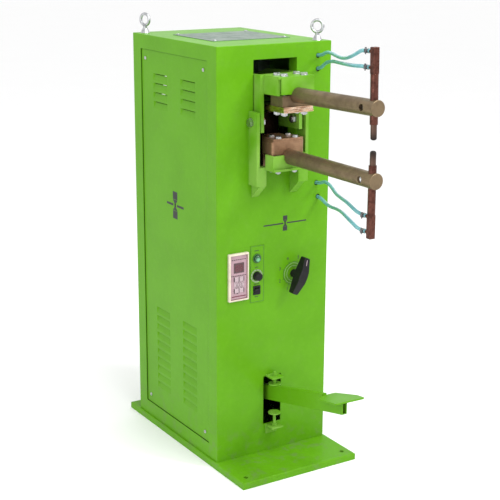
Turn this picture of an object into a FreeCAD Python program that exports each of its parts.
import FreeCAD, Part
import math
import os

# Pedal-operated spot welder. Millimetres, +Z up, the front faces -Y and +X is the viewer's right.
# The origin is the centre of the base's underside, which is also the centre of its four anchor holes.

os.makedirs("parts", exist_ok=True)

# ---------------------------------------------------------------- cabinet and base
BASE_WIDTH = 352
BASE_DEPTH = 634
BASE_HEIGHT = 18
BASE_SHEET = 4
FRONT_OVERHANG = 141.5
CABINET_WIDTH = 340
CABINET_DEPTH = 443
CABINET_HEIGHT = 1085
SHEET = 2

FRONT = -BASE_DEPTH / 2 + FRONT_OVERHANG
REAR = FRONT + CABINET_DEPTH
SIDE = CABINET_WIDTH / 2
TOP = BASE_HEIGHT + CABINET_HEIGHT

ANCHOR_X = 151.5
ANCHOR_Y = 289
ANCHOR_HOLE_RADIUS = 6
ANCHOR_SPACER_RADIUS = 11

# Each removable panel sits in a window, a little below the faces around it.
POST = 44
TOP_RAIL = 38
BOTTOM_RAIL = 39
PANEL_SHEET = 1.5
PANEL_RECESS = 3
PANEL_GAP = 1
LIP_WIDTH = 22
LIP_JOGGLE = 6
SCREW_INSET_Y = 23
SCREW_INSET_Z = 24
SCREW_RADIUS = 2.5
WINDOW_LOW = BASE_HEIGHT + BOTTOM_RAIL
WINDOW_HIGH = TOP - TOP_RAIL
WINDOW_FRONT = FRONT + POST
WINDOW_REAR = REAR - POST
REAR_WINDOW_HALF = SIDE - POST

LOUVRE_LENGTH = 76
LOUVRE_HEIGHT = 18
LOUVRE_DEPTH = 4.5
LOUVRE_WALL = 1.2
LOUVRE_SLIT = 2.5
LOUVRE_END_TAPER = 6
LOUVRE_PITCH = 24.5
LOUVRE_COLUMN_OFFSET = 74
REAR_LOUVRE_X = 58
UPPER_LOUVRES = 4
UPPER_LOUVRE_TOP = 1005
LOWER_LOUVRES = 10
LOWER_LOUVRE_TOP = 358

# ---------------------------------------------------------------- openings of the front face
HEAD_OPENING_HALF = 64.5
HEAD_OPENING_LOW = 787
HEAD_OPENING_HIGH = 1066
HEAD_FLANGE = 35
PEDAL_SLOT_HALF = 27.5
PEDAL_SLOT_LOW = 96
PEDAL_SLOT_HIGH = 231
HOSE_HOLE_RADIUS = 6.5

# ---------------------------------------------------------------- rocker and arms
PIVOT_Y = -187.5
PIVOT_Z = 914
OPEN_TILT = 1.5
CHEEK_INNER = 68
CHEEK_THICK = 9
CHEEK_FRONT = FRONT - 38
CHEEK_LOW = 756
CHEEK_HIGH = 941
GUSSET_INNER = 48
GUSSET_LOW = 722
BRACKET_LOW = 797
PLATE_OUTER = 62
PLATE_INNER = 52
PLATE_FRONT = FRONT - 31
HEAD_TOP = 1031
ROCKER_LOW = 889
FOLD = 6
HOOD_FRONT = -271
HOOD_REAR = -185
FLAP_HALF = 47
FLAP_LOW = 988
FLAP_GAP = 3
PIVOT_BOLT_RADIUS = 6
BUSH_RADIUS = 9
RUNNING_CLEARANCE = 0.05

ARM_RADIUS = 19
ARM_SEAT = 0.2
ARM_TIP = -594
UPPER_AXIS = 985
LOWER_AXIS = 831
ELECTRODE_Y = -578
HOLDER_RADIUS = 9.3
HOLDER_HEAD_HALF = 7.7
TIP_RADIUS = 7.2

LOWER_BLOCK_LOW = 836
LOWER_BLOCK_HIGH = 869
STRAP_THICK = 7
SHUNT_THICK = 14
SHUNT_HALF = 44
SHUNT_BEND = 30

UPPER_FACE_Z = 912.8
LOWER_FACE_Z = 899
WELD_GAP = 0.4

# The rocker's swing, from rest until the tips are a weld gap apart.
WELD_REACH = PIVOT_Y - ELECTRODE_Y
WELD_DROP = UPPER_FACE_Z - LOWER_FACE_Z - WELD_GAP
WELD_TRAVEL = OPEN_TILT + math.degrees(math.asin(WELD_DROP / WELD_REACH))

# ---------------------------------------------------------------- pedal linkage
PEDAL_X = -3
ROD_Y = 200
PEDAL_TRAVEL = 8
ROCKER_REAR_ARM = ROD_Y - PIVOT_Y
PEDAL_REAR_ARM = ROCKER_REAR_ARM * WELD_TRAVEL / PEDAL_TRAVEL
PEDAL_PIVOT_Y = ROD_Y - PEDAL_REAR_ARM
PEDAL_PIVOT_Z = 137
ROD_PIN_Z = PEDAL_PIVOT_Z - PEDAL_REAR_ARM * math.sin(math.radians(PEDAL_TRAVEL / 2))
ROCKER_PIN_Z = PIVOT_Z - ROCKER_REAR_ARM * math.sin(math.radians(WELD_TRAVEL / 2))
LEVER_HALF = 7
SHAFT_RADIUS = 10
ROD_RADIUS = 6
STOP_Y = FRONT - 17
STOP_DISC_RADIUS = 16.5

# ---------------------------------------------------------------- controls
TIMER_LEFT = -138
TIMER_RIGHT = -78.5
TIMER_LOW = 456
TIMER_HIGH = 582
TIMER_PROUD = 8
TIMER_BOX_HIGH = 555
THUMBWHEEL_RADIUS = 17
AXLE_RADIUS = 2
THUMBWHEEL_Z = 499.5
THUMBWHEEL_Y = FRONT + 9.5
SWITCH_PLATE = (-71, -29, 442, 594)
CONTROL_X = -51.5
LAMP_Z = 560
KNOB_Z = 513
POWER_SWITCH_Z = 475
TAP_X = 61.5
TAP_Z = 504
TAP_POINTER_ANGLE = 22.5
TAP_DIAL_RADIUS = 31

# ---------------------------------------------------------------- transformer
CORE_HALF = 95
CORE_FRONT = -45
CORE_REAR = 65
CORE_LOW = 590
CORE_HIGH = 810
LEG = 55

# Routes of the water hoses, from the headers behind the front face to the electrode holders.
HOSE_RADIUS = 4.5
HOSE_ROUTES = {
    "upper_feed_hose": [
        (129.5, -160, 1067), (129.5, -188, 1067), (127, -216, 1080), (112, -262, 1080), (84, -325, 1079),
        (46, -400, 1085), (16, -462, 1096), (3, -505, 1109), (0, -526, 1119), (0, -546, 1119)],
    "upper_return_hose": [
        (129.5, -160, 1033), (129.5, -184, 1033), (125, -215, 1053), (108, -268, 1063), (78, -335, 1067),
        (42, -405, 1073), (14, -465, 1078), (2, -506, 1081), (0, -527, 1083), (0, -546, 1083)],
    "lower_feed_hose": [
        (131.5, -160, 738), (131.5, -188, 738), (128, -219, 750), (114, -264, 748), (86, -324, 742),
        (48, -398, 750), (18, -462, 756), (3, -507, 752), (0, -530, 746), (0, -551, 746)],
    "lower_return_hose": [
        (136.5, -160, 701), (136.5, -187, 701), (133, -217, 690), (117, -262, 692), (90, -322, 703),
        (50, -398, 716), (18, -462, 720), (3, -507, 716), (0, -530, 709), (0, -551, 709)],
}

X_AXIS = FreeCAD.Vector(1, 0, 0)
Y_AXIS = FreeCAD.Vector(0, 1, 0)
Z_AXIS = FreeCAD.Vector(0, 0, 1)


# ---------------------------------------------------------------- drawing helpers
def box(x_range, y_range, z_range):
    size = [high - low for low, high in (x_range, y_range, z_range)]
    corner = FreeCAD.Vector(x_range[0], y_range[0], z_range[0])
    return Part.makeBox(size[0], size[1], size[2], corner)


def rod(start, direction, radius, length):
    return Part.makeCylinder(radius, length, FreeCAD.Vector(*start), direction)


def ring(start, direction, outer, inner, length):
    return rod(start, direction, outer, length).cut(rod(start, direction, inner, length))


def prism(points, thickness):
    """A flat outline given as 3-D points, pushed out along a vector."""
    corners = [FreeCAD.Vector(*point) for point in points]
    face = Part.Face(Part.makePolygon(corners + corners[:1]))
    return face.extrude(FreeCAD.Vector(*thickness))


def side_plate(outline, x_low, x_high):
    """A plate cut to an outline of (y, z) corners, between two x positions."""
    return prism([(x_low, y, z) for y, z in outline], (x_high - x_low, 0, 0))


def hexagon(centre, direction, across_flats, height):
    """A hexagonal nut or head that starts at centre and grows along direction."""
    corner = across_flats / math.sqrt(3)
    outline = [FreeCAD.Vector(corner * math.cos(math.radians(60 * k)),
                              corner * math.sin(math.radians(60 * k)), 0) for k in range(6)]
    solid = Part.Face(Part.makePolygon(outline + outline[:1])).extrude(FreeCAD.Vector(0, 0, height))
    solid.Placement = FreeCAD.Placement(FreeCAD.Vector(*centre), FreeCAD.Rotation(Z_AXIS, direction))
    return solid


def through_bolt(head_face, direction, radius, grip, nut_height=8):
    """A hexagon bolt whose shank runs along direction from head_face, with its nut after the grip."""
    across = radius * 3.2
    start = FreeCAD.Vector(*head_face)
    head = hexagon(start, direction * -1, across, radius * 1.3)
    shank = rod(start, direction, radius, grip + nut_height + 2)
    nut = hexagon(start + direction * grip, direction, across, nut_height)
    return head.fuse([shank, nut]).removeSplitter()


def joined(first, *others):
    return first.fuse(list(others)).removeSplitter()


def mirrored(shape):
    return shape.mirror(FreeCAD.Vector(0, 0, 0), X_AXIS)


def both_sides(shape):
    return Part.Compound([shape, mirrored(shape)])


def coil_spring(centre, coil_radius, wire_radius, height, turns):
    """An upright open coil; centre is the middle of its lowest turn's wire."""
    helix = Part.makeHelix(height / turns, height, coil_radius)
    start = helix.Edges[0].Vertexes[0].Point
    section = Part.Wire([Part.makeCircle(wire_radius, start, Y_AXIS)])
    coil = Part.Wire(helix.Edges).makePipeShell([section], True, True)
    coil.translate(FreeCAD.Vector(*centre))
    return coil


def tilted(shape):
    """Turns a rocker piece from level to its resting, open position about the pivot."""
    turned = shape.copy()
    turned.rotate(FreeCAD.Vector(0, PIVOT_Y, PIVOT_Z), X_AXIS, -OPEN_TILT)
    return turned


def save(node, shape):
    shape.exportStep(f"parts/{node}.step")
    print(node, "solids", len(shape.Solids), "volume", round(shape.Volume), "valid", shape.isValid())


# ---------------------------------------------------------------- base and cabinet
def base_tray():
    outer = box((-BASE_WIDTH / 2, BASE_WIDTH / 2), (-BASE_DEPTH / 2, BASE_DEPTH / 2), (0, BASE_HEIGHT))
    inner = box((-BASE_WIDTH / 2 + BASE_SHEET, BASE_WIDTH / 2 - BASE_SHEET),
                (-BASE_DEPTH / 2 + BASE_SHEET, BASE_DEPTH / 2 - BASE_SHEET), (0, BASE_HEIGHT - BASE_SHEET))
    top_edges = [edge for edge in outer.Edges
                 if all(abs(vertex.Z - BASE_HEIGHT) < 0.01 for vertex in edge.Vertexes)]
    tray = outer.makeFillet(BASE_SHEET * 0.8, top_edges).cut(inner)
    # A spacer tube under each hole keeps the anchor bolt from crushing the hollow tray.
    places = [(x, y, 0) for x in (-ANCHOR_X, ANCHOR_X) for y in (-ANCHOR_Y, ANCHOR_Y)]
    spacers = [rod(place, Z_AXIS, ANCHOR_SPACER_RADIUS, BASE_HEIGHT - BASE_SHEET) for place in places]
    return joined(tray, *spacers).cut([rod(place, Z_AXIS, ANCHOR_HOLE_RADIUS, BASE_HEIGHT) for place in places])


def window_lip(along, turned):
    """The joggled flange behind a window that its panel is screwed to.

    It is drawn behind a face at y = 0 whose window spans along, then turned to face -X if asked.
    """
    deep = PANEL_RECESS + PANEL_SHEET
    outer = box((along[0] - LIP_JOGGLE, along[1] + LIP_JOGGLE), (SHEET, deep + SHEET),
                (WINDOW_LOW - LIP_JOGGLE, WINDOW_HIGH + LIP_JOGGLE))
    seat = box(along, (0, deep), (WINDOW_LOW, WINDOW_HIGH))
    light = box((along[0] + LIP_WIDTH, along[1] - LIP_WIDTH), (0, deep + SHEET),
                (WINDOW_LOW + LIP_WIDTH, WINDOW_HIGH - LIP_WIDTH))
    lip = outer.cut([seat, light])
    if turned:
        lip.rotate(FreeCAD.Vector(0, 0, 0), Z_AXIS, -90)
    return lip


def panel_screw_places(low, high):
    """The four screw places of a panel, as (along the panel, height) pairs."""
    return [(along, z) for along in (low + SCREW_INSET_Y, high - SCREW_INSET_Y)
            for z in (WINDOW_LOW + SCREW_INSET_Z, WINDOW_HIGH - SCREW_INSET_Z)]


def cabinet_shell():
    outer = box((-SIDE, SIDE), (FRONT, REAR), (BASE_HEIGHT, TOP))
    long_edges = [edge for edge in outer.Edges if edge.BoundBox.ZMax > BASE_HEIGHT + 1]
    outer = outer.makeFillet(SHEET, long_edges)
    inner = box((-SIDE + SHEET, SIDE - SHEET), (FRONT + SHEET, REAR - SHEET), (BASE_HEIGHT, TOP - SHEET))
    shell = outer.cut(inner)

    # The windows of the three removable panels, and the flanges behind them.
    window_height = (WINDOW_LOW, WINDOW_HIGH)
    shell = shell.cut(box((-SIDE - 1, SIDE + 1), (WINDOW_FRONT, WINDOW_REAR), window_height))
    shell = shell.cut(box((-REAR_WINDOW_HALF, REAR_WINDOW_HALF), (REAR - SHEET - 1, REAR + 1), window_height))
    side_lip = window_lip((-WINDOW_REAR, -WINDOW_FRONT), True)
    side_lip.translate(FreeCAD.Vector(-SIDE, 0, 0))
    rear_lip = window_lip((-REAR_WINDOW_HALF, REAR_WINDOW_HALF), False).mirror(FreeCAD.Vector(0, 0, 0), Y_AXIS)
    rear_lip.translate(FreeCAD.Vector(0, REAR, 0))
    shell = shell.fuse([side_lip, mirrored(side_lip), rear_lip])

    # The head opening keeps its return flanges, which stiffen it where the rocker passes.
    flange = box((HEAD_OPENING_HALF, HEAD_OPENING_HALF + SHEET), (FRONT + SHEET, FRONT + HEAD_FLANGE),
                 (HEAD_OPENING_LOW, HEAD_OPENING_HIGH))
    shell = shell.fuse([flange, mirrored(flange)])
    through = (FRONT - 1, FRONT + SHEET + 1)
    shell = shell.cut(box((-HEAD_OPENING_HALF, HEAD_OPENING_HALF), through,
                          (HEAD_OPENING_LOW, HEAD_OPENING_HIGH)))
    shell = shell.cut(box((-PEDAL_SLOT_HALF, PEDAL_SLOT_HALF), through, (PEDAL_SLOT_LOW, PEDAL_SLOT_HIGH)))
    shell = shell.cut(box((TIMER_LEFT + 3, TIMER_RIGHT - 3), through, (TIMER_LOW + 3, TIMER_BOX_HIGH + 0.5)))
    for route in HOSE_ROUTES.values():
        x, _, z = route[0]
        height = z + (route[1][2] - z) * (FRONT - route[0][1]) / (route[1][1] - route[0][1])
        shell = shell.cut(rod((x, through[0], height), Y_AXIS, HOSE_HOLE_RADIUS, SHEET + 2))
    for x, z, radius in ((CONTROL_X, LAMP_Z, 8), (CONTROL_X, KNOB_Z, 4), (TAP_X, TAP_Z, 5.5)):
        shell = shell.cut(rod((x, through[0], z), Y_AXIS, radius, SHEET + 2))
    shell = shell.cut(box((CONTROL_X - 9, CONTROL_X + 9), through, (POWER_SWITCH_Z - 8, POWER_SWITCH_Z + 8)))

    # Screw holes of the panels, and the holes of the lifting eyes.
    for y, z in panel_screw_places(WINDOW_FRONT, WINDOW_REAR):
        shell = shell.cut(rod((-SIDE, y, z), X_AXIS, SCREW_RADIUS, CABINET_WIDTH))
    for x, z in panel_screw_places(-REAR_WINDOW_HALF, REAR_WINDOW_HALF):
        shell = shell.cut(rod((x, REAR - 20, z), Y_AXIS, SCREW_RADIUS, 20))
    for x, y in EYE_PLACES:
        shell = shell.cut(rod((x, y, TOP - 10), Z_AXIS, EYE_THREAD_RADIUS, 10))
    for x, y in TOP_SCREW_PLACES:
        shell = shell.cut(rod((x, y, TOP - 10), Z_AXIS, SCREW_RADIUS, 10))
    return shell


def louvre(inward):
    """One louvre pressed into a panel whose face is at x = 0: it is deepest at its slit, along its top.

    Returns the pressed skin, the hollow in front of it and the slit behind; inward is -1 or +1 along x.
    """
    def wedge(length, height, depth):
        half = length / 2
        deep_half = half - LOUVRE_END_TAPER
        front = [(0, -half, 0), (0, half, 0), (0, half, -height), (0, -half, -height)]
        deep = [(inward * depth, -deep_half, 0), (inward * depth, deep_half, 0)]
        outlines = [
            front,
            [front[0], front[1], deep[1], deep[0]],
            [front[3], front[2], deep[1], deep[0]],
            [front[0], front[3], deep[0]],
            [front[1], front[2], deep[1]],
        ]
        faces = []
        for outline in outlines:
            corners = [FreeCAD.Vector(*point) for point in outline]
            faces.append(Part.Face(Part.makePolygon(corners + corners[:1])))
        return Part.Solid(Part.Shell(faces))

    skin = wedge(LOUVRE_LENGTH + 2 * LOUVRE_WALL, LOUVRE_HEIGHT + 2 * LOUVRE_WALL, LOUVRE_DEPTH + LOUVRE_WALL)
    hollow = wedge(LOUVRE_LENGTH, LOUVRE_HEIGHT, LOUVRE_DEPTH)
    half = LOUVRE_LENGTH / 2 - LOUVRE_END_TAPER
    slit = box(sorted((inward * PANEL_SHEET, inward * (LOUVRE_DEPTH + 2 * LOUVRE_WALL))), (-half, half),
               (-LOUVRE_SLIT, 1))
    return skin, hollow, slit


def louvre_tops():
    upper = [UPPER_LOUVRE_TOP - LOUVRE_PITCH * k for k in range(UPPER_LOUVRES)]
    lower = [LOWER_LOUVRE_TOP - LOUVRE_PITCH * k for k in range(LOWER_LOUVRES)]
    return upper + lower


def with_louvres(sheet, places, inward, turn=0):
    """The sheet with a louvre pressed into it at each place, turned about Z first."""
    skins = []
    cuts = []
    for place in places:
        skin, hollow, slit = louvre(inward)
        for piece, group in ((skin, skins), (hollow, cuts), (slit, cuts)):
            piece.rotate(FreeCAD.Vector(0, 0, 0), Z_AXIS, turn)
            piece.translate(place)
            group.append(piece)
    return sheet.fuse(skins).cut(cuts)


def side_panel(sign):
    face = sign * (SIDE - PANEL_RECESS)
    back = face - sign * PANEL_SHEET
    sheet = box(sorted((face, back)), (WINDOW_FRONT + PANEL_GAP, WINDOW_REAR - PANEL_GAP),
                (WINDOW_LOW + PANEL_GAP, WINDOW_HIGH - PANEL_GAP))
    centre = (WINDOW_FRONT + WINDOW_REAR) / 2
    places = [FreeCAD.Vector(face, centre + side * LOUVRE_COLUMN_OFFSET, z)
              for side in (-1, 1) for z in louvre_tops()]
    sheet = with_louvres(sheet, places, -sign)
    holes = [rod((-SIDE, y, z), X_AXIS, SCREW_RADIUS, CABINET_WIDTH)
             for y, z in panel_screw_places(WINDOW_FRONT, WINDOW_REAR)]
    return sheet.cut(holes)


def rear_panel():
    face = REAR - PANEL_RECESS
    sheet = box((-REAR_WINDOW_HALF + PANEL_GAP, REAR_WINDOW_HALF - PANEL_GAP), (face - PANEL_SHEET, face),
                (WINDOW_LOW + PANEL_GAP, WINDOW_HIGH - PANEL_GAP))
    places = [FreeCAD.Vector(x, face, z) for x in (-REAR_LOUVRE_X, REAR_LOUVRE_X)
              for z in louvre_tops()[:UPPER_LOUVRES]]
    sheet = with_louvres(sheet, places, -1, 90)
    holes = [rod((x, REAR - 20, z), Y_AXIS, SCREW_RADIUS, 20)
             for x, z in panel_screw_places(-REAR_WINDOW_HALF, REAR_WINDOW_HALF)]
    holes.append(rod((GLAND_X, REAR - 20, GLAND_Z), Y_AXIS, GLAND_RADIUS, 20))
    holes += [rod((x, REAR - 20, WATER_PORT_Z), Y_AXIS, WATER_PORT_RADIUS, 20) for x in WATER_PORT_X]
    return sheet.cut(holes)


def pan_head_screw(point, outward):
    """A panel screw whose head rests on a face at point and stands out along outward."""
    head = rod(point, outward, SCREW_RADIUS * 1.9, 2.2)
    head = head.makeFillet(1.2, [edge for edge in head.Edges
                                 if (edge.CenterOfMass - FreeCAD.Vector(*point)).Length > 2])
    shank = rod(point, outward * -1, SCREW_RADIUS - 0.2, 10)
    cross = [box((-0.6, 0.6), (-3, 3), (1.2, 4)), box((-3, 3), (-0.6, 0.6), (1.2, 4))]
    for groove in cross:
        groove.Placement = FreeCAD.Placement(FreeCAD.Vector(*point), FreeCAD.Rotation(Z_AXIS, outward))
        head = head.cut(groove)
    return joined(head, shank)


def panel_screws():
    screws = []
    for y, z in panel_screw_places(WINDOW_FRONT, WINDOW_REAR):
        screws.append(pan_head_screw((-SIDE + PANEL_RECESS, y, z), X_AXIS * -1))
        screws.append(pan_head_screw((SIDE - PANEL_RECESS, y, z), X_AXIS))
    for x, z in panel_screw_places(-REAR_WINDOW_HALF, REAR_WINDOW_HALF):
        screws.append(pan_head_screw((x, REAR - PANEL_RECESS, z), Y_AXIS))
    for x, y in TOP_SCREW_PLACES:
        screws.append(pan_head_screw((x, y, TOP + TOP_PLATE_THICK), Z_AXIS))
    return Part.Compound(screws)


TOP_PLATE = ((-112, 118), (-62, 148))
TOP_PLATE_THICK = 1.5
TOP_SCREW_PLACES = [(x, y) for x in (TOP_PLATE[0][0] + 10, TOP_PLATE[0][1] - 10)
                    for y in (TOP_PLATE[1][0] + 10, TOP_PLATE[1][1] - 10)]
EYE_PLACES = ((-145, 243), (143, -150))
EYE_THREAD_RADIUS = 5
EYE_RING_RADIUS = 15
EYE_WIRE_RADIUS = 4
EYE_TURN = {EYE_PLACES[0]: 20, EYE_PLACES[1]: 35}


def top_plate():
    plate = box(TOP_PLATE[0], TOP_PLATE[1], (TOP, TOP + TOP_PLATE_THICK))
    return plate.cut([rod((x, y, TOP), Z_AXIS, SCREW_RADIUS, TOP_PLATE_THICK) for x, y in TOP_SCREW_PLACES])


def lifting_eye(place):
    """An M10 eye bolt: collar, ring and shank, with its nut under the cabinet's top."""
    collar = Part.makeCone(12.5, 7, 12, FreeCAD.Vector(0, 0, 0))
    circle = Part.makeTorus(EYE_RING_RADIUS, EYE_WIRE_RADIUS, FreeCAD.Vector(0, 0, 35), X_AXIS)
    neck = rod((0, 0, 10), Z_AXIS, 5.5, 8)
    shank = rod((0, 0, -20), Z_AXIS, EYE_THREAD_RADIUS - 0.2, 21)
    nut = hexagon((0, 0, -SHEET - 8), Z_AXIS, 16, 8)
    eye = joined(collar, circle, neck, shank, nut)
    eye.rotate(FreeCAD.Vector(0, 0, 0), Z_AXIS, EYE_TURN[place])
    eye.translate(FreeCAD.Vector(place[0], place[1], TOP))
    return eye


# ---------------------------------------------------------------- fixed parts of the head
def head_cheeks():
    """The two uprights that carry the pivot, each welded to the front face with its gusset."""
    cheek = box((CHEEK_INNER, CHEEK_INNER + CHEEK_THICK), (CHEEK_FRONT, FRONT), (CHEEK_LOW, CHEEK_HIGH))
    gusset = side_plate([(FRONT, BRACKET_LOW), (CHEEK_FRONT, BRACKET_LOW), (CHEEK_FRONT, CHEEK_LOW),
                         (FRONT, GUSSET_LOW)], GUSSET_INNER, CHEEK_INNER)
    cheek = joined(cheek, gusset)
    cheek = cheek.cut(rod((0, PIVOT_Y, PIVOT_Z), X_AXIS, PIVOT_BOLT_RADIUS, 200))
    return both_sides(cheek)


def pivot_bolts():
    outside = CHEEK_INNER + CHEEK_THICK
    grip = outside - PLATE_INNER + 0.3
    bolt = through_bolt((outside, PIVOT_Y, PIVOT_Z), X_AXIS * -1, PIVOT_BOLT_RADIUS, grip, 10)
    return both_sides(bolt)


def arm_channel(axis, y_low, y_high):
    return rod((0, y_low, axis), Y_AXIS, ARM_RADIUS + ARM_SEAT, y_high - y_low)


UPPER_BOLT_X = 29
UPPER_BOLT_RADIUS = 5
UPPER_BOLT_Y = (-262, -230)
LOWER_BOLT_X = 24.5
LOWER_BOLT_RADIUS = 4
LOWER_BOLT_Y = (-230, -199)
LOWER_BRACKET_FRONT = -249.5
LOWER_BLOCK_FRONT = -238.5
LOWER_BLOCK_REAR = -190.5
UPPER_BLOCK = ((-41.5, 41.5), (-274, -221))
UPPER_BLOCK_HEIGHT = 27


def bolt_places(bolt_x, places_y):
    return [(x, y) for x in (-bolt_x, bolt_x) for y in places_y]


def lower_bolt_holes(z_low, z_high):
    return [rod((x, y, z_low), Z_AXIS, LOWER_BOLT_RADIUS + 0.3, z_high - z_low)
            for x, y in bolt_places(LOWER_BOLT_X, LOWER_BOLT_Y)]


def upper_bolt_holes(z_low, z_high):
    return [rod((x, y, z_low), Z_AXIS, UPPER_BOLT_RADIUS + 0.3, z_high - z_low)
            for x, y in bolt_places(UPPER_BOLT_X, UPPER_BOLT_Y)]


def lower_arm_bracket():
    """A folded box on the gussets: a floor, two side webs and notched webs in front and behind."""
    half = PLATE_INNER
    web_height = (BRACKET_LOW, LOWER_BLOCK_LOW)
    floor = box((-half, half), (LOWER_BRACKET_FRONT - 5, LOWER_BLOCK_REAR), (BRACKET_LOW, BRACKET_LOW + FOLD))
    ears = box((-CHEEK_INNER + 0.5, CHEEK_INNER - 0.5), (CHEEK_FRONT, LOWER_BLOCK_REAR),
               (BRACKET_LOW, BRACKET_LOW + FOLD))
    web = box((half - FOLD, half), (LOWER_BRACKET_FRONT, CHEEK_FRONT), web_height)
    front = box((-half, half), (LOWER_BRACKET_FRONT, LOWER_BRACKET_FRONT + FOLD), web_height)
    rear = box((-half, half), (CHEEK_FRONT - FOLD, CHEEK_FRONT), web_height)
    bracket = joined(floor, ears, web, mirrored(web), front, rear)
    bracket = bracket.cut(arm_channel(LOWER_AXIS, LOWER_BRACKET_FRONT - 10, FRONT + 10))
    return bracket.cut(lower_bolt_holes(BRACKET_LOW - 1, LOWER_BLOCK_LOW))


def lower_clamp_block():
    block = box((-47, 47), (LOWER_BLOCK_FRONT, LOWER_BLOCK_REAR), (LOWER_BLOCK_LOW, LOWER_BLOCK_HIGH))
    corners = [edge for edge in block.Edges if edge.BoundBox.YMax < LOWER_BLOCK_FRONT + 1
               and edge.BoundBox.XLength < 1]
    block = block.makeFillet(7, corners)
    block = block.cut(arm_channel(LOWER_AXIS, LOWER_BLOCK_FRONT - 1, FRONT + 1))
    return block.cut(lower_bolt_holes(LOWER_BLOCK_LOW, LOWER_BLOCK_HIGH))


def clamp_bolts(places, top, radius, grip):
    return Part.Compound([through_bolt((x, y, top), Z_AXIS * -1, radius, grip) for x, y in places])


BUSBAR_Y = -160
BUSBAR_HALF = 44
BUSBAR_NECK = 24
TURN_HALF = 38
TURN_LOW = 670
TURN_HIGH = 730
RETURN_LOW = 822
RETURN_HIGH = 866
SHUNT_DROP_Y = -120


def lower_busbar():
    """The copper strap from the lower clamp block, through the opening and down to the transformer."""
    top = LOWER_BLOCK_HIGH + STRAP_THICK
    level = box((-BUSBAR_HALF, BUSBAR_HALF), (LOWER_BLOCK_FRONT + 1, LOWER_BLOCK_REAR), (LOWER_BLOCK_HIGH, top))
    neck = box((-BUSBAR_NECK, BUSBAR_NECK), (LOWER_BLOCK_REAR, BUSBAR_Y + STRAP_THICK), (LOWER_BLOCK_HIGH, top))
    upright = box((-BUSBAR_NECK, BUSBAR_NECK), (BUSBAR_Y, BUSBAR_Y + STRAP_THICK), (TURN_LOW, top))
    strap = joined(level, neck, upright)
    bend = [edge for edge in strap.Edges if edge.BoundBox.XLength > BUSBAR_NECK
            and abs(edge.BoundBox.YMax - BUSBAR_Y - STRAP_THICK) < 0.1 and abs(edge.BoundBox.ZMax - top) < 0.1]
    strap = strap.makeFillet(STRAP_THICK * 0.8, bend)
    return strap.cut(lower_bolt_holes(LOWER_BLOCK_HIGH, top))


def rounded_path(points, radius=None):
    """Straight runs joined by tangent arcs, each as large as its two runs allow if no radius is given."""
    corners = [FreeCAD.Vector(*point) for point in points]
    edges = []
    radii = []
    start = corners[0]
    for before, corner, after in zip(corners, corners[1:], corners[2:]):
        arriving = corner - before
        leaving = after - corner
        half_turn = arriving.getAngle(leaving) / 2
        if radius is None:
            tangent = 0.45 * min(arriving.Length, leaving.Length)
        else:
            tangent = radius * math.tan(half_turn)
        arc_radius = tangent / math.tan(half_turn)
        arriving.normalize()
        leaving.normalize()
        arc_start = corner - arriving * tangent
        arc_end = corner + leaving * tangent
        inward = leaving - arriving
        inward.normalize()
        middle = corner + inward * (arc_radius / math.cos(half_turn) - arc_radius)
        edges.append(Part.LineSegment(start, arc_start).toShape())
        edges.append(Part.Arc(arc_start, middle, arc_end).toShape())
        radii.append(round(arc_radius))
        start = arc_end
    edges.append(Part.LineSegment(start, corners[-1]).toShape())
    return Part.Wire(edges), radii


def level_to_rest(y, z):
    """Where a point drawn on the level rocker stands when the rocker rests open."""
    angle = math.radians(OPEN_TILT)
    y -= PIVOT_Y
    z -= PIVOT_Z
    return (PIVOT_Y + y * math.cos(angle) + z * math.sin(angle),
            PIVOT_Z - y * math.sin(angle) + z * math.cos(angle))


def flexible_shunt():
    """A pack of copper foils from under the upper clamp block, back and down to the transformer."""
    middle = UPPER_AXIS - UPPER_BLOCK_HEIGHT - SHUNT_THICK / 2
    front = level_to_rest(UPPER_BLOCK[1][0] - 9, middle)
    under_block = level_to_rest(UPPER_BLOCK[1][1], middle)
    slope = (under_block[1] - front[1]) / (under_block[0] - front[0])
    corner_z = front[1] + slope * (SHUNT_DROP_Y - front[0])
    path, _ = rounded_path([(0, front[0], front[1]), (0, SHUNT_DROP_Y, corner_z),
                            (0, SHUNT_DROP_Y, RETURN_LOW)], SHUNT_BEND)
    half = SHUNT_THICK / 2
    section = Part.makePolygon([FreeCAD.Vector(x, front[0], front[1] + z) for x, z in (
        (-SHUNT_HALF, -half), (SHUNT_HALF, -half), (SHUNT_HALF, half), (-SHUNT_HALF, half),
        (-SHUNT_HALF, -half))])
    section.rotate(FreeCAD.Vector(0, front[0], front[1]), X_AXIS, -OPEN_TILT)
    pack = path.makePipeShell([Part.Wire(section)], True, False)
    low = UPPER_AXIS - UPPER_BLOCK_HEIGHT - SHUNT_THICK
    holes = [tilted(hole) for hole in upper_bolt_holes(low - 2, low + SHUNT_THICK + 2)]
    return pack.cut(holes)


# ---------------------------------------------------------------- electrodes and arms
ARM_REAR_UPPER = -158
ARM_REAR_LOWER = -182
SCREW_HOLE_Y = ELECTRODE_Y + 24
SCREW_HOLE_RADIUS = 8
SCREW_HOLE_DEPTH = 11


def arm(axis, rear):
    """A copper-alloy bar, bored for its electrode holder and drilled at the side for its lock screw."""
    bar = rod((0, ARM_TIP, axis), Y_AXIS, ARM_RADIUS, rear - ARM_TIP)
    bar = bar.makeChamfer(1.2, [edge for edge in bar.Edges if edge.BoundBox.YLength < 0.1])
    bar = bar.cut(rod((0, ELECTRODE_Y, axis - 30), Z_AXIS, HOLDER_RADIUS + RUNNING_CLEARANCE, 60))
    return bar.cut(rod((-ARM_RADIUS, SCREW_HOLE_Y, axis), X_AXIS, SCREW_HOLE_RADIUS, SCREW_HOLE_DEPTH))


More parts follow.
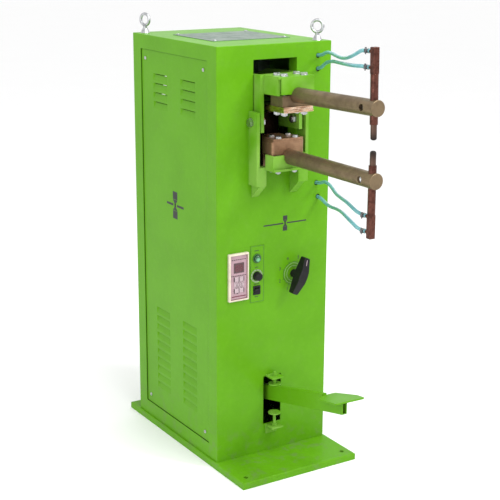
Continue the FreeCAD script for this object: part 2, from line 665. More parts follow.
def electrode_holder(axis, head_reach, head_start, tip_reach, up):
    """A round holder through the arm, with a square head for the hose nipples at its far end."""
    direction = Z_AXIS if up > 0 else Z_AXIS * -1
    shank = rod((0, ELECTRODE_Y, axis - up * tip_reach), direction, HOLDER_RADIUS, tip_reach + head_start)
    half = HOLDER_HEAD_HALF
    head_z = sorted((axis + up * head_start, axis + up * head_reach))
    head = box((-half, half), (ELECTRODE_Y - half, ELECTRODE_Y + half), head_z)
    head = head.makeChamfer(1, head.Edges)
    holder = joined(shank, head)
    socket = rod((0, ELECTRODE_Y, axis - up * tip_reach), direction, TIP_RADIUS - 1.5, TIP_SOCKET)
    return holder.cut(socket)


TIP_SOCKET = 14


def electrode_tip(face_z, holder_end_z):
    """A domed tip whose shank fills the holder's socket; works for either electrode."""
    up = 1 if holder_end_z > face_z else -1
    direction = Z_AXIS * up
    dome = 5
    length = abs(holder_end_z - face_z)
    body = rod((0, ELECTRODE_Y, face_z), direction, TIP_RADIUS, length)
    body = body.makeFillet(dome, [edge for edge in body.Edges if edge.BoundBox.ZLength < 0.1
                                  and abs(edge.BoundBox.ZMin - face_z) < 0.1])
    shank = rod((0, ELECTRODE_Y, holder_end_z), direction, TIP_RADIUS - 1.5, TIP_SOCKET)
    return joined(body, shank)


UPPER_HEAD_REACH = 134
UPPER_HEAD_START = 75
UPPER_TIP_REACH = 37
LOWER_HEAD_REACH = 135
LOWER_HEAD_START = 79
LOWER_TIP_REACH = 35


def with_nipples(holder, hose_names):
    """The holder with two brass nipples brazed into its square head, back to the ends of its hoses."""
    nipples = []
    for name in hose_names:
        x, y, z = HOSE_ROUTES[name][-1]
        level = [vertex for vertex in holder.Vertexes if abs(vertex.Z - z) < 30]
        surface_y = max(vertex.Y for vertex in level) - 2
        nipples.append(hexagon((x, surface_y, z), Y_AXIS, 11, 6))
        nipples.append(rod((x, surface_y, z), Y_AXIS, 3.4, y - surface_y))
    return joined(holder, *nipples)


# ---------------------------------------------------------------- rocker
def rocker_frame():
    """Two long plates, the hood that grips the upper arm, and the cross bar that the rod lifts."""
    rear_y = ROD_Y + 28
    plate = side_plate([(PLATE_FRONT, ROCKER_LOW), (PLATE_FRONT, HEAD_TOP), (-60, HEAD_TOP),
                        (rear_y, 938), (rear_y, 887)], PLATE_INNER, PLATE_OUTER)
    bush_hole = rod((PLATE_INNER, PIVOT_Y, PIVOT_Z), X_AXIS, BUSH_RADIUS, 20)
    plate = plate.cut(bush_hole)
    web = box((PLATE_INNER - FOLD, PLATE_INNER), (HOOD_FRONT, HOOD_REAR), (UPPER_AXIS, HEAD_TOP))
    roof = box((-PLATE_INNER, PLATE_INNER), (HOOD_FRONT - FLAP_GAP, HOOD_REAR), (HEAD_TOP - FOLD, HEAD_TOP))
    flap = box((-FLAP_HALF, FLAP_HALF), (HOOD_FRONT - FLAP_GAP - FOLD, HOOD_FRONT - FLAP_GAP),
               (FLAP_LOW, HEAD_TOP))
    flap = flap.makeFillet(5, [edge for edge in flap.Edges if edge.BoundBox.YLength > 1
                               and edge.BoundBox.ZMin > HEAD_TOP - 1])
    rear_web = box((-PLATE_INNER, PLATE_INNER), (HOOD_REAR - 10, HOOD_REAR), (UPPER_AXIS, HEAD_TOP))
    middle_web = box((-PLATE_INNER, PLATE_INNER), (-222, -214), (UPPER_AXIS, HEAD_TOP))
    hood = joined(web, mirrored(web), roof, flap, rear_web, middle_web)
    hood = hood.cut(arm_channel(UPPER_AXIS, HOOD_FRONT - 20, HOOD_REAR + 5))
    hood = hood.cut(upper_bolt_holes(UPPER_AXIS, HEAD_TOP + 1))
    bar_y, bar_z = level_rod_pin()
    cross_bar = rod((-PLATE_INNER - 2, bar_y, bar_z), X_AXIS, 15, 2 * PLATE_INNER + 4)
    frame = joined(hood, plate, mirrored(plate), cross_bar)
    return frame.cut(rod((PEDAL_X, bar_y, bar_z - 30), Z_AXIS, ROD_RADIUS + 1.5, 60))


def level_rod_pin():
    """Where the rocker's cross bar is while the rocker is drawn level, before it is tilted."""
    angle = math.radians(OPEN_TILT)
    y = ROD_Y - PIVOT_Y
    z = ROCKER_PIN_Z - PIVOT_Z
    return (PIVOT_Y + y * math.cos(angle) - z * math.sin(angle),
            PIVOT_Z + y * math.sin(angle) + z * math.cos(angle))


def pivot_bushes():
    bore = PIVOT_BOLT_RADIUS + RUNNING_CLEARANCE
    sleeve = ring((PLATE_INNER, PIVOT_Y, PIVOT_Z), X_AXIS, BUSH_RADIUS, bore, PLATE_OUTER - PLATE_INNER)
    flange = ring((PLATE_OUTER, PIVOT_Y, PIVOT_Z), X_AXIS, BUSH_RADIUS + 2.3, bore,
                  CHEEK_INNER - PLATE_OUTER - 0.3)
    return both_sides(joined(sleeve, flange))


def upper_clamp_block():
    block = box(UPPER_BLOCK[0], UPPER_BLOCK[1], (UPPER_AXIS - UPPER_BLOCK_HEIGHT, UPPER_AXIS))
    block = block.cut(arm_channel(UPPER_AXIS, UPPER_BLOCK[1][0] - 1, UPPER_BLOCK[1][1] + 1))
    return block.cut(upper_bolt_holes(UPPER_AXIS - UPPER_BLOCK_HEIGHT, UPPER_AXIS))


# ---------------------------------------------------------------- pedal, rod and springs
def lever_top(y):
    return LEVER_TOP_END - LEVER_TOP_SLOPE * (y - LEVER_END)


def lever_bottom(y):
    return LEVER_BOTTOM_END - LEVER_BOTTOM_SLOPE * (y - LEVER_END)


LEVER_END = -502.5
LEVER_BOTTOM_SLOPE = 0.229
LEVER_BOTTOM_END = 237
LEVER_TOP_SLOPE = 0.244
LEVER_TOP_END = 282.6
LEVER_WALL = 2
LEVER_HOLLOW_DEPTH = 80
TREAD_REAR = -418
TREAD_FRONT = -512
TREAD_OUTLINE = ((-34, -436), (-7, TREAD_REAR), (30, TREAD_REAR), (52, -480), (50, TREAD_FRONT), (-34, -508))
TREAD_CORNER_RADIUS = 4
TREAD_SLOPE = 9.4
TREAD_END_Z = 273.4
TREAD_THICK = 4


def tread_under(y):
    return TREAD_END_Z - (y - TREAD_FRONT) * math.tan(math.radians(TREAD_SLOPE)) - TREAD_THICK


def pedal_lever():
    """A deep bar, hollow at its front end, with a hub on its shaft and a pin for the push rod's fork."""
    step_lean = (lever_top(TREAD_REAR) - tread_under(TREAD_REAR)) * math.tan(math.radians(TREAD_SLOPE))
    outline = [
        (LEVER_END, LEVER_BOTTOM_END),
        (LEVER_END, tread_under(LEVER_END)),
        (TREAD_REAR, tread_under(TREAD_REAR)),
        (TREAD_REAR + step_lean, lever_top(TREAD_REAR)),
        (PEDAL_PIVOT_Y, lever_top(PEDAL_PIVOT_Y)),
        (ROD_Y + 14, ROD_PIN_Z + 15),
        (ROD_Y + 14, ROD_PIN_Z - 15),
        (PEDAL_PIVOT_Y, lever_bottom(PEDAL_PIVOT_Y)),
    ]
    bar = side_plate(outline, PEDAL_X - LEVER_HALF, PEDAL_X + LEVER_HALF)
    hub = rod((PEDAL_X - 14, PEDAL_PIVOT_Y, PEDAL_PIVOT_Z), X_AXIS, SHAFT_RADIUS + 8, 28)
    lever = joined(bar, hub)
    lever = lever.cut(rod((PEDAL_X - 20, PEDAL_PIVOT_Y, PEDAL_PIVOT_Z), X_AXIS,
                          SHAFT_RADIUS + RUNNING_CLEARANCE, 40))
    hollow_rear = LEVER_END + LEVER_HOLLOW_DEPTH
    hollow = [(LEVER_END - 1, lever_bottom(LEVER_END - 1) + LEVER_WALL),
              (LEVER_END - 1, tread_under(LEVER_END - 1) - LEVER_WALL),
              (hollow_rear, tread_under(hollow_rear) - LEVER_WALL),
              (hollow_rear, lever_bottom(hollow_rear) + LEVER_WALL)]
    lever = lever.cut(side_plate(hollow, PEDAL_X - LEVER_HALF + LEVER_WALL, PEDAL_X + LEVER_HALF - LEVER_WALL))
    pin = rod((PEDAL_X - 44, ROD_Y, ROD_PIN_Z), X_AXIS, ROD_RADIUS, 66)
    return joined(lever, pin)


def pedal_tread():
    """The foot plate: a flat plate with cut corners, tilted up towards its front edge."""
    stretch = 1 / math.cos(math.radians(TREAD_SLOPE))
    corners = [(x, (y - TREAD_REAR) * stretch, 0) for x, y in TREAD_OUTLINE]
    plate = prism(corners, (0, 0, TREAD_THICK))
    upright = [edge for edge in plate.Edges if edge.BoundBox.ZLength > TREAD_THICK / 2]
    plate = plate.makeFillet(TREAD_CORNER_RADIUS, upright)
    plate.rotate(FreeCAD.Vector(0, 0, 0), X_AXIS, -TREAD_SLOPE)
    plate.translate(FreeCAD.Vector(0, TREAD_REAR, tread_under(TREAD_REAR)))
    return plate


BEARING_X = (16, 23)


def pedal_bearing():
    """Two uprights on the base with the pedal's shaft welded into them."""
    low = BASE_HEIGHT
    outline = [(PEDAL_PIVOT_Y - 45, low), (PEDAL_PIVOT_Y + 45, low), (PEDAL_PIVOT_Y + 20, PEDAL_PIVOT_Z + 20),
               (PEDAL_PIVOT_Y - 20, PEDAL_PIVOT_Z + 20)]
    uprights = []
    for sign in (-1, 1):
        span = sorted((PEDAL_X + sign * BEARING_X[0], PEDAL_X + sign * BEARING_X[1]))
        uprights.append(side_plate(outline, span[0], span[1]))
    foot = box((PEDAL_X - 50, PEDAL_X + 50), (PEDAL_PIVOT_Y - 45, PEDAL_PIVOT_Y + 45), (low, low + FOLD))
    shaft = rod((PEDAL_X - 30, PEDAL_PIVOT_Y, PEDAL_PIVOT_Z), X_AXIS, SHAFT_RADIUS, 60)
    return joined(foot, uprights[0], uprights[1], shaft)


def pedal_stops():
    """The two small shelves at the slot, each with a disc-headed screw that the lever rests on."""
    drop = (PEDAL_PIVOT_Y - STOP_Y) * math.tan(math.radians(PEDAL_TRAVEL))
    span = (PEDAL_X - 18, PEDAL_X + 18)
    disc = 3
    nut_height = 6.5
    upper_disc = lever_top(STOP_Y) + STOP_DISC_RADIUS * LEVER_TOP_SLOPE + 0.3
    lower_disc = lever_bottom(STOP_Y) - drop - 2.5 - disc
    lower_shelf = PEDAL_SLOT_LOW - FOLD
    stops = []
    for shelf_z, disc_z in ((PEDAL_SLOT_HIGH, upper_disc), (lower_shelf, lower_disc)):
        shelf = box(span, (FRONT - 34, FRONT), (shelf_z, shelf_z + 4))
        plate = rod((PEDAL_X, STOP_Y, disc_z), Z_AXIS, STOP_DISC_RADIUS, disc)
        start = min(disc_z, shelf_z - 12)
        end = max(disc_z + disc, shelf_z + 16)
        stud = rod((PEDAL_X, STOP_Y, start), Z_AXIS, 4, end - start)
        nuts = [hexagon((PEDAL_X, STOP_Y, base), Z_AXIS, 13, nut_height)
                for base in (shelf_z + 4, shelf_z - nut_height)]
        stops.append(joined(shelf, plate, stud, *nuts))
    leg = box(span, (FRONT - 3, FRONT), (lower_shelf - 22, lower_shelf + 2))
    stops[1] = joined(stops[1], leg)
    return Part.Compound(stops)


PRESSURE_COLLAR_Z = 800
SWITCH_COLLAR_Z = 620
SWITCH_COLLAR_RADIUS = 18
ROD_TOP = 950


def push_rod():
    """The rod from the pedal's rear pin up through the rocker's cross bar, with its collars and nuts."""
    x = PEDAL_X
    cheek_low = ROD_PIN_Z - 14
    crown = ROD_PIN_Z + 38
    outer = 14
    inner = LEVER_HALF + 1
    fork = [box((x + low, x + high), (ROD_Y - 12, ROD_Y + 12), (cheek_low, crown))
            for low, high in ((-outer, -inner), (inner, outer))]
    bridge = box((x - outer, x + outer), (ROD_Y - 12, ROD_Y + 12), (crown - 8, crown))
    shank = rod((x, ROD_Y, crown - 1), Z_AXIS, ROD_RADIUS, ROD_TOP - crown + 1)
    collars = [rod((x, ROD_Y, SWITCH_COLLAR_Z), Z_AXIS, SWITCH_COLLAR_RADIUS, 5),
               rod((x, ROD_Y, PRESSURE_COLLAR_Z), Z_AXIS, 18, 6),
               hexagon((x, ROD_Y, PRESSURE_COLLAR_Z - 10), Z_AXIS, 19, 10),
               hexagon((x, ROD_Y, ROCKER_PIN_Z + 18), Z_AXIS, 19, 10),
               hexagon((x, ROD_Y, ROCKER_PIN_Z + 29), Z_AXIS, 19, 7)]
    body = joined(fork[0], fork[1], bridge, shank, *collars)
    return body.cut(rod((x - 30, ROD_Y, ROD_PIN_Z), X_AXIS, ROD_RADIUS + RUNNING_CLEARANCE, 60))


def pressure_spring():
    low = PRESSURE_COLLAR_Z + 6
    high = ROCKER_PIN_Z - 15.5
    wire = 2.5
    return coil_spring((PEDAL_X, ROD_Y, low + wire), 13, wire, high - low - 2 * wire, 7)


RETURN_SPRING_X = PEDAL_X - 34
SPRING_ANCHOR_HEIGHT = 9


def return_spring():
    """The tension spring that pulls the pedal's rear pin down towards the base."""
    wire = 1.25
    low = BASE_HEIGHT + SPRING_ANCHOR_HEIGHT + wire
    high = ROD_PIN_Z - ROD_RADIUS - wire
    return coil_spring((RETURN_SPRING_X, ROD_Y, low), 8, wire, high - low, 18)


def return_spring_anchor():
    plate = box((RETURN_SPRING_X - 14, RETURN_SPRING_X + 14), (ROD_Y - 14, ROD_Y + 14),
                (BASE_HEIGHT, BASE_HEIGHT + 4))
    post = rod((RETURN_SPRING_X, ROD_Y, BASE_HEIGHT + 4), Z_AXIS, 10, SPRING_ANCHOR_HEIGHT - 4)
    return joined(plate, post)


# ---------------------------------------------------------------- transformer
def transformer_rails():
    """A welded frame of bars across the cabinet that carries the transformer."""
    rail = box((112, 142), (FRONT + SHEET, REAR - PANEL_RECESS - PANEL_SHEET - SHEET), (560, 590))
    hollow = box((115, 142), (FRONT, REAR), (560, 587))
    rail = rail.cut(hollow)
    cross = [box((-115, 115), (y - 12, y + 12), (584, CORE_LOW)) for y in (CORE_FRONT + 22, CORE_REAR - 22)]
    return joined(rail, mirrored(rail), cross[0], cross[1])


def transformer_core():
    core = box((-CORE_HALF, CORE_HALF), (CORE_FRONT, CORE_REAR), (CORE_LOW, CORE_HIGH))
    window = box((-CORE_HALF + LEG, CORE_HALF - LEG), (CORE_FRONT, CORE_REAR),
                 (CORE_LOW + LEG, CORE_HIGH - LEG))
    return core.cut(window)


def primary_coils():
    """The two taped primary windings, one around each leg of the core."""
    wall = 14
    leg_inner = CORE_HALF - LEG
    low = CORE_LOW + LEG + 2
    high = CORE_HIGH - LEG - 2
    outer = box((leg_inner - wall, CORE_HALF + wall), (CORE_FRONT - wall, CORE_REAR + wall), (low, high))
    outer = outer.makeFillet(10, [edge for edge in outer.Edges if edge.BoundBox.ZLength > 10])
    leg = box((leg_inner, CORE_HALF), (CORE_FRONT, CORE_REAR), (low, high))
    return both_sides(outer.cut(leg))


def secondary_turn():
    """One turn of thick copper: in through the core's window, up behind it and back over its top."""
    front = BUSBAR_Y + STRAP_THICK
    rear = CORE_REAR + 45
    through = box((-22, 22), (front, rear), (TURN_LOW, TURN_HIGH))
    riser = box((-22, 22), (rear - 25, rear), (TURN_LOW, RETURN_HIGH))
    shunt_face = SHUNT_DROP_Y + SHUNT_THICK / 2
    back = box((-TURN_HALF, TURN_HALF), (shunt_face, rear), (RETURN_LOW, RETURN_HIGH))
    return joined(through, riser, back)


def transformer_clamps():
    """Angles along the yokes, drawn together by four long bolts."""
    pieces = []
    for y, toward in ((CORE_FRONT, -1), (CORE_REAR, 1)):
        for z_low in (CORE_LOW + 6, CORE_HIGH - 36):
            flat = sorted((y, y + toward * 5))
            pieces.append(box((-CORE_HALF - 18, CORE_HALF + 18), flat, (z_low, z_low + 30)))
    for x in (-CORE_HALF - 10, CORE_HALF + 10):
        for z in (CORE_LOW + 21, CORE_HIGH - 21):
            grip = CORE_REAR - CORE_FRONT + 10
            pieces.append(through_bolt((x, CORE_FRONT - 5, z), Y_AXIS, 4, grip))
    for index in range(4, 8):
        for plate_index in range(4):
            pieces[plate_index] = pieces[plate_index].cut(pieces[index])
    return Part.Compound(pieces)


# ---------------------------------------------------------------- controls
def timer_case():
    """The weld timer: a proud rim around a sunk face, and its box behind the front face."""
    front = FRONT - TIMER_PROUD
    rim = box((TIMER_LEFT, TIMER_RIGHT), (front, FRONT), (TIMER_LOW, TIMER_HIGH))
    outer_edges = [edge for edge in rim.Edges if edge.BoundBox.YMax < front + 0.1 or edge.BoundBox.YLength > 5]
    rim = rim.makeFillet(2, outer_edges)
    face = box((TIMER_LEFT + 5, TIMER_RIGHT - 5), (front - 1, front + 2.5), (TIMER_LOW + 5, TIMER_HIGH - 5))
    body = box((TIMER_LEFT + 3.5, TIMER_RIGHT - 3.5), (FRONT, FRONT + 60), (TIMER_LOW + 3.5, TIMER_BOX_HIGH))
    case = joined(rim.cut(face), body)
    axle = rod((WHEEL_BAY_X[0] - 1, THUMBWHEEL_Y, THUMBWHEEL_Z), X_AXIS, AXLE_RADIUS,
               WHEEL_BAY_X[1] - WHEEL_BAY_X[0] + 2)
    display = box(DISPLAY_X, (front, front + 6), DISPLAY_Z)
    wheels = box(WHEEL_BAY_X, (front, FRONT + 34), WHEEL_BAY_Z)
    return joined(case.cut(display).cut(wheels), axle)


DISPLAY_X = (-123, -93)
DISPLAY_Z = (531, 557)
WHEEL_BAY_X = (-122.5, -93.5)
WHEEL_BAY_Z = (479, 520)
WHEEL_X = {"thumbwheel_tens": (-120.5, -109.5), "thumbwheel_units": (-106.5, -95.5)}


def timer_window():
    front = FRONT - TIMER_PROUD
    return box(DISPLAY_X, (front + 1.8, front + 5.5), DISPLAY_Z)


def thumbwheel(x_range):
    """A ten-place number wheel for the axle in its bay, with a finger notch between the places."""
    x_low, x_high = x_range
    wheel = ring((x_low, THUMBWHEEL_Y, THUMBWHEEL_Z), X_AXIS, THUMBWHEEL_RADIUS,
                 AXLE_RADIUS + RUNNING_CLEARANCE, x_high - x_low)
    notches = []
    for place in range(10):
        angle = math.radians(36 * place + 18)
        y = THUMBWHEEL_Y + THUMBWHEEL_RADIUS * math.cos(angle)
        z = THUMBWHEEL_Z + THUMBWHEEL_RADIUS * math.sin(angle)
        notches.append(rod((x_low, y, z), X_AXIS, 1.6, x_high - x_low))
    return wheel.cut(notches)


def switch_plate():
    x_low, x_high, z_low, z_high = SWITCH_PLATE
    plate = box((x_low, x_high), (FRONT - 1, FRONT), (z_low, z_high))
    for z, radius in ((LAMP_Z, 8), (KNOB_Z, 4)):
        plate = plate.cut(rod((CONTROL_X, FRONT - 2, z), Y_AXIS, radius, 4))
    return plate.cut(box((CONTROL_X - 9, CONTROL_X + 9), (FRONT - 2, FRONT + 1),
                         (POWER_SWITCH_Z - 8, POWER_SWITCH_Z + 8)))


def indicator_lamp():
    lens = rod((CONTROL_X, FRONT - 9, LAMP_Z), Y_AXIS, 9, 8)
    lens = lens.makeFillet(4, [edge for edge in lens.Edges if edge.BoundBox.YMax < FRONT - 8.9])
    bezel = rod((CONTROL_X, FRONT - 3, LAMP_Z), Y_AXIS, 12, 2)
    barrel = rod((CONTROL_X, FRONT - 1, LAMP_Z), Y_AXIS, 7.6, 30)
    return joined(lens, bezel, barrel)


def heat_knob():
    """A fluted knob with a pointer line, on its shaft through the front face."""
    knob = Part.makeCone(12, 10, 13, FreeCAD.Vector(CONTROL_X, FRONT - 1.5, KNOB_Z), Y_AXIS * -1)
    flutes = []
    for k in range(12):
        angle = math.radians(30 * k + 15)
        flutes.append(rod((CONTROL_X + 12.2 * math.cos(angle), FRONT - 16, KNOB_Z + 12.2 * math.sin(angle)),
                          Y_AXIS, 1.5, 11))
    line = box((CONTROL_X - 0.6, CONTROL_X + 0.6), (FRONT - 15, FRONT - 13.5), (KNOB_Z, KNOB_Z + 11))
    shaft = rod((CONTROL_X, FRONT - 2, KNOB_Z), Y_AXIS, 3, 15)
    return joined(knob.cut(flutes).cut(line), shaft)


def heat_potentiometer():
    """The round potentiometer behind the front face, with its threaded neck and nut."""
    can = rod((CONTROL_X, FRONT + SHEET, KNOB_Z), Y_AXIS, 12, 14)
    neck = rod((CONTROL_X, FRONT - 1, KNOB_Z), Y_AXIS, 3.8, 5)
    lugs = [box((x - 1.5, x + 1.5), (FRONT + 12, FRONT + 13), (KNOB_Z - 20, KNOB_Z - 10))
            for x in (CONTROL_X - 6, CONTROL_X, CONTROL_X + 6)]
    body = joined(can, neck, *lugs)
    return body.cut(rod((CONTROL_X, FRONT - 2, KNOB_Z), Y_AXIS, 3 + RUNNING_CLEARANCE, 16))


POWER_ROCKER_HALF = (6.5, 5.8)
POWER_PIN_RADIUS = 1.5
POWER_PIN_HALF = 8
POWER_ROCKER_TILT = 10


def power_switch_body():
    rim = box((CONTROL_X - 10.5, CONTROL_X + 10.5), (FRONT - 3, FRONT - 1),
              (POWER_SWITCH_Z - 12, POWER_SWITCH_Z + 12))
    rim = rim.makeFillet(1.5, [edge for edge in rim.Edges if edge.BoundBox.YLength > 1])
    barrel = box((CONTROL_X - 8.5, CONTROL_X + 8.5), (FRONT - 1, FRONT + 24),
                 (POWER_SWITCH_Z - 7.5, POWER_SWITCH_Z + 7.5))
    bay = box((CONTROL_X - 7, CONTROL_X + 7), (FRONT - 4, FRONT + 10), (POWER_SWITCH_Z - 6.6, POWER_SWITCH_Z + 6.6))
    pin_hole = rod((CONTROL_X - POWER_PIN_HALF - 0.2, FRONT, POWER_SWITCH_Z), X_AXIS,
                   POWER_PIN_RADIUS + RUNNING_CLEARANCE, 2 * POWER_PIN_HALF + 0.4)
    return joined(rim, barrel).cut([bay, pin_hole])


def power_switch_rocker():
    """The rocking key: a shallow V face and a pivot pin, drawn tipped to its off side."""
    half_x, half_z = POWER_ROCKER_HALF
    face = -5.5
    outline = [(face, half_z), (face + 1.6, 0), (face, -half_z), (3, -half_z + 1), (3, half_z - 1)]
    pin = rod((-POWER_PIN_HALF, 0, 0), X_AXIS, POWER_PIN_RADIUS, 2 * POWER_PIN_HALF)
    key = joined(side_plate(outline, -half_x, half_x), pin)
    key.rotate(FreeCAD.Vector(0, 0, 0), X_AXIS, POWER_ROCKER_TILT)
    key.translate(FreeCAD.Vector(CONTROL_X, FRONT, POWER_SWITCH_Z))
    return key


KNOB_STEM_RADIUS = 11
KNOB_BAR_BACK = FRONT - 22
KNOB_BAR_DEPTH = 28
KNOB_BAR_HALF = 50
KNOB_END_DEPTH = 17


def tap_knob():
    """The bar knob of the tap switch, held off the dial by its stem, with its shaft into the switch."""
    face = FRONT - 4
    stem = rod((0, face, 0), Y_AXIS * -1, KNOB_STEM_RADIUS, face - KNOB_BAR_BACK + 2)
    end_half = 8.5
    middle_half = 13
    outline = [(-end_half, -KNOB_BAR_HALF), (end_half, -KNOB_BAR_HALF), (middle_half, 0),
               (end_half, KNOB_BAR_HALF), (-end_half, KNOB_BAR_HALF), (-middle_half, 0)]
    bar = prism([(x, KNOB_BAR_BACK, z) for x, z in outline], (0, -KNOB_BAR_DEPTH, 0))
    bar = bar.makeFillet(4, [edge for edge in bar.Edges if edge.BoundBox.YLength > KNOB_BAR_DEPTH / 2])
    end_face = KNOB_BAR_BACK - KNOB_END_DEPTH
    front_face = KNOB_BAR_BACK - KNOB_BAR_DEPTH - 1
    for sign in (-1, 1):
        wedge = prism([(-20, end_face, sign * KNOB_BAR_HALF), (-20, front_face, sign * 12),
                       (-20, front_face, sign * (KNOB_BAR_HALF + 10)),
                       (-20, end_face, sign * (KNOB_BAR_HALF + 10))], (40, 0, 0))
        bar = bar.cut(wedge)
    shaft = rod((0, face + 22, 0), Y_AXIS * -1, 5, 23)
    knob = joined(stem, bar, shaft)
    knob.rotate(FreeCAD.Vector(0, 0, 0), Y_AXIS, TAP_POINTER_ANGLE)
    knob.translate(FreeCAD.Vector(TAP_X, 0, TAP_Z))
    return knob


def tap_dial():
    """The escutcheon behind the tap knob, with a step turned in its face."""
    plinth = rod((TAP_X, FRONT, TAP_Z), Y_AXIS * -1, TAP_DIAL_RADIUS, 1)
    raised = rod((TAP_X, FRONT - 1, TAP_Z), Y_AXIS * -1, TAP_DIAL_RADIUS - 5, 1.2)
    return joined(plinth, raised).cut(rod((TAP_X, FRONT, TAP_Z), Y_AXIS * -1, 5.5, 4))


def tap_switch():
    flange = rod((TAP_X, FRONT + SHEET, TAP_Z), Y_AXIS, 32, 4)
    drum = rod((TAP_X, FRONT + SHEET + 4, TAP_Z), Y_AXIS, 28, 52)
    studs = []
    for k in range(8):
        angle = math.radians(45 * k + TAP_POINTER_ANGLE)
        x = TAP_X + 22 * math.cos(angle)
        z = TAP_Z + 22 * math.sin(angle)
        studs.append(rod((x, FRONT + SHEET + 56, z), Y_AXIS, 3, 10))
    body = joined(flange, drum, *studs)
    return body.cut(rod((TAP_X, FRONT, TAP_Z), Y_AXIS, 5.3, 30))


# ---------------------------------------------------------------- electrics and water behind the panels
INSIDE_REAR = REAR - PANEL_RECESS - PANEL_SHEET
GLAND_X = -70
GLAND_Z = 120
GLAND_RADIUS = 10
WATER_PORT_X = (56, 90)
WATER_PORT_Z = 200
WATER_PORT_RADIUS = 7
LIMIT_LEVER_LENGTH = 45
LIMIT_ROLLER_RADIUS = 6


def thyristor_contactor():
    """The thyristor contactor: its block on a finned heat sink that hangs behind the upper louvres."""
    x_low, x_high = 120, 156
    y_low, y_high = 90, 190
    z_low = 965
    fin_pitch = 10
    sink = box((x_low, x_high), (y_low, y_high), (z_low, TOP - SHEET))
    gaps = [box((x_low + 10, x_high), (y_low + fin_pitch * k + 3, y_low + fin_pitch * k + 9),
                (z_low, TOP - SHEET - 6)) for k in range(10)]
    module = box((x_low - 32, x_low), (y_low + 20, y_high - 20), (z_low + 25, z_low + 105))
    lugs = [rod((x_low - 32, (y_low + y_high) / 2, z_low + z), X_AXIS * -1, 4, 8) for z in (45, 85)]
    return joined(sink.cut(gaps), module, *lugs)


def terminal_block():
    left = 20
    pole_pitch = 14
    block = box((left, left + 80), (INSIDE_REAR - 28, INSIDE_REAR), (270, 310))
    wells = [rod((left + 12 + pole_pitch * k, INSIDE_REAR - 28, z), Y_AXIS, 4, 8)
             for k in range(5) for z in (280, 300)]
    return block.cut(wells)


def cable_gland():
    """The gland that the mains lead would enter by, clamped through the rear panel."""
    face = REAR - PANEL_RECESS
    body = ring((GLAND_X, INSIDE_REAR - 10, GLAND_Z), Y_AXIS, GLAND_RADIUS - 0.2, 6.5, 32)
    nut = hexagon((GLAND_X, face, GLAND_Z), Y_AXIS, 27, 7)
    dome = Part.makeCone(12.5, 8.5, 14, FreeCAD.Vector(GLAND_X, face + 7, GLAND_Z), Y_AXIS)
    lock = hexagon((GLAND_X, INSIDE_REAR, GLAND_Z), Y_AXIS * -1, 27, 5)
    gland = joined(body, nut, dome, lock)
    return gland.cut(rod((GLAND_X, INSIDE_REAR - 20, GLAND_Z), Y_AXIS, 6.5, 60))


def water_headers():
    """The feed and return pipes: from the rear ports forward to the nipples behind the front face."""
    pipes = []
    for port_x, lift, names in ((WATER_PORT_X[0], 0, ("upper_feed_hose", "lower_feed_hose")),
                                (WATER_PORT_X[1], 22, ("upper_return_hose", "lower_return_hose"))):
        pipe_x = 152
        pipe_y = -145 + lift * 1.2
        level = WATER_PORT_Z + 12 + lift
        tail = rod((port_x, REAR + 14, WATER_PORT_Z), Y_AXIS * -1, 5.5, 50)
        washer = hexagon((port_x, REAR - PANEL_RECESS, WATER_PORT_Z), Y_AXIS, 19, 5)
        lock = hexagon((port_x, INSIDE_REAR, WATER_PORT_Z), Y_AXIS * -1, 19, 5)
        rise = rod((port_x, REAR - 36, WATER_PORT_Z - 5.5), Z_AXIS, 5.5, level - WATER_PORT_Z + 11)
        across = rod((port_x, REAR - 36, level), X_AXIS, 5.5, pipe_x - port_x + 5.5)
        along = rod((pipe_x, REAR - 36, level), Y_AXIS * -1, 5.5, REAR - 36 - pipe_y + 5.5)
        high = HOSE_ROUTES[names[0]][0][2] + 5.5
        upright = rod((pipe_x, pipe_y, level - 5.5), Z_AXIS, 5.5, high - level + 5.5)
        pieces = [washer, lock, rise, across, along, upright]
        for name in names:
            x, y, z = HOSE_ROUTES[name][0]
            pieces.append(rod((x - 5.5, pipe_y, z), X_AXIS, 5.5, pipe_x - x + 5.5))
            pieces.append(rod((x, pipe_y, z), Y_AXIS * -1, 3.5, pipe_y - y))
        pipes.append(joined(tail, *pieces))
    return Part.Compound(pipes)


def limit_lever_angle():
    """Half the swing of the limit switch's lever, from the rise of the rod's collar."""
    rise = 2 * PEDAL_REAR_ARM * math.sin(math.radians(PEDAL_TRAVEL / 2))
    return math.degrees(math.asin(rise / 2 / LIMIT_LEVER_LENGTH))


LIMIT_X = PEDAL_X + 16


def limit_pivot():
    swing = math.radians(limit_lever_angle())
    y = ROD_Y + LIMIT_LEVER_LENGTH * math.cos(swing)
    roller_z = SWITCH_COLLAR_Z + 5 + LIMIT_ROLLER_RADIUS + 0.5
    return y, roller_z + LIMIT_LEVER_LENGTH * math.sin(swing)


def limit_switch():
    pivot_y, pivot_z = limit_pivot()
    body = box((LIMIT_X + 5, LIMIT_X + 27), (pivot_y - 14, INSIDE_REAR), (pivot_z - 30, pivot_z + 14))
    return body.cut(rod((LIMIT_X + 4, pivot_y, pivot_z), X_AXIS, 3 + RUNNING_CLEARANCE, 12))


def limit_lever():
    """The roller lever that the rod's collar lifts at the end of the stroke."""
    pivot_y, pivot_z = limit_pivot()
    swing = limit_lever_angle()
    arm_bar = box((LIMIT_X + 1, LIMIT_X + 4), (pivot_y - LIMIT_LEVER_LENGTH, pivot_y + 5),
                  (pivot_z - 4, pivot_z + 4))
    roller = rod((LIMIT_X - 4, pivot_y - LIMIT_LEVER_LENGTH, pivot_z), X_AXIS, LIMIT_ROLLER_RADIUS, 5)
    stem = rod((LIMIT_X, pivot_y, pivot_z), X_AXIS, 3, 14)
    lever = joined(arm_bar, roller, stem)
    lever.rotate(FreeCAD.Vector(0, pivot_y, pivot_z), X_AXIS, swing)
    return lever


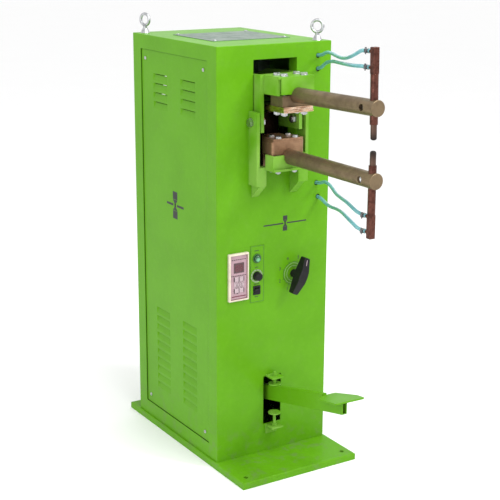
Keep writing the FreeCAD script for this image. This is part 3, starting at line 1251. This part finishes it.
# ---------------------------------------------------------------- hoses
def hose(name):
    route = HOSE_ROUTES[name]
    path, radii = rounded_path(route)
    first_run = FreeCAD.Vector(*route[1]) - FreeCAD.Vector(*route[0])
    section = Part.Wire([Part.makeCircle(HOSE_RADIUS, FreeCAD.Vector(*route[0]), first_run)])
    tube = path.makePipeShell([section], True, False)
    expected = math.pi * HOSE_RADIUS ** 2 * path.Length
    print(name, "length", round(path.Length), "radii", radii, "volume ratio", round(tube.Volume / expected, 4))
    return tube


# ---------------------------------------------------------------- the whole machine
save("base_tray", joined(base_tray(), return_spring_anchor()))
save("cabinet_shell", cabinet_shell())
save("left_side_panel", side_panel(-1))
save("right_side_panel", side_panel(1))
save("rear_panel", rear_panel())
save("panel_screws", panel_screws())
save("top_plate", top_plate())
save("lifting_eyes", Part.Compound([lifting_eye(place) for place in EYE_PLACES]))

save("head_cheeks", head_cheeks())
save("pivot_bolts", pivot_bolts())
save("lower_arm_bracket", lower_arm_bracket())
save("lower_clamp_block", lower_clamp_block())
lower_bolt_top = LOWER_BLOCK_HIGH + STRAP_THICK
save("lower_clamp_bolts", clamp_bolts(bolt_places(LOWER_BOLT_X, LOWER_BOLT_Y), lower_bolt_top,
                                      LOWER_BOLT_RADIUS, lower_bolt_top - BRACKET_LOW))
save("lower_busbar", lower_busbar())
save("flexible_shunt", flexible_shunt())
save("lower_arm", arm(LOWER_AXIS, ARM_REAR_LOWER))
lower_holder = electrode_holder(LOWER_AXIS, LOWER_HEAD_REACH, LOWER_HEAD_START, LOWER_TIP_REACH, -1)
save("lower_electrode_holder", with_nipples(lower_holder, ("lower_feed_hose", "lower_return_hose")))
save("lower_electrode_tip", electrode_tip(LOWER_FACE_Z, LOWER_AXIS + LOWER_TIP_REACH))

save("rocker_frame", tilted(rocker_frame()))
save("pivot_bushes", tilted(pivot_bushes()))
save("upper_clamp_block", tilted(upper_clamp_block()))
upper_grip = HEAD_TOP - UPPER_AXIS + UPPER_BLOCK_HEIGHT + SHUNT_THICK
save("upper_clamp_bolts", tilted(clamp_bolts(bolt_places(UPPER_BOLT_X, UPPER_BOLT_Y), HEAD_TOP,
                                             UPPER_BOLT_RADIUS, upper_grip)))
save("upper_arm", tilted(arm(UPPER_AXIS, ARM_REAR_UPPER)))
upper_holder = electrode_holder(UPPER_AXIS, UPPER_HEAD_REACH, UPPER_HEAD_START, UPPER_TIP_REACH, 1)
save("upper_electrode_holder", with_nipples(tilted(upper_holder), ("upper_feed_hose", "upper_return_hose")))
save("upper_electrode_tip", tilted(electrode_tip(UPPER_FACE_Z, UPPER_AXIS - UPPER_TIP_REACH)))

save("pedal_lever", pedal_lever())
save("pedal_tread", pedal_tread())
save("pedal_bearing", pedal_bearing())
save("pedal_stops", pedal_stops())
save("push_rod", push_rod())
save("pressure_spring", pressure_spring())
save("return_spring", return_spring())

save("transformer_rails", transformer_rails())
save("transformer_core", transformer_core())
save("primary_coils", primary_coils())
save("secondary_turn", secondary_turn())
save("transformer_clamps", transformer_clamps())

save("timer_case", timer_case())
save("timer_window", timer_window())
for node, x_range in WHEEL_X.items():
    save(node, thumbwheel(x_range))
save("switch_plate", switch_plate())
save("indicator_lamp", indicator_lamp())
save("heat_knob", heat_knob())
save("heat_potentiometer", heat_potentiometer())
save("power_switch_body", power_switch_body())
save("power_switch_rocker", power_switch_rocker())
save("tap_dial", tap_dial())
save("tap_knob", tap_knob())
save("tap_switch", tap_switch())

save("thyristor_contactor", thyristor_contactor())
save("terminal_block", terminal_block())
save("cable_gland", cable_gland())
save("water_headers", water_headers())
save("limit_switch", limit_switch())
save("limit_lever", limit_lever())

for hose_name in HOSE_ROUTES:
    save(hose_name, hose(hose_name))
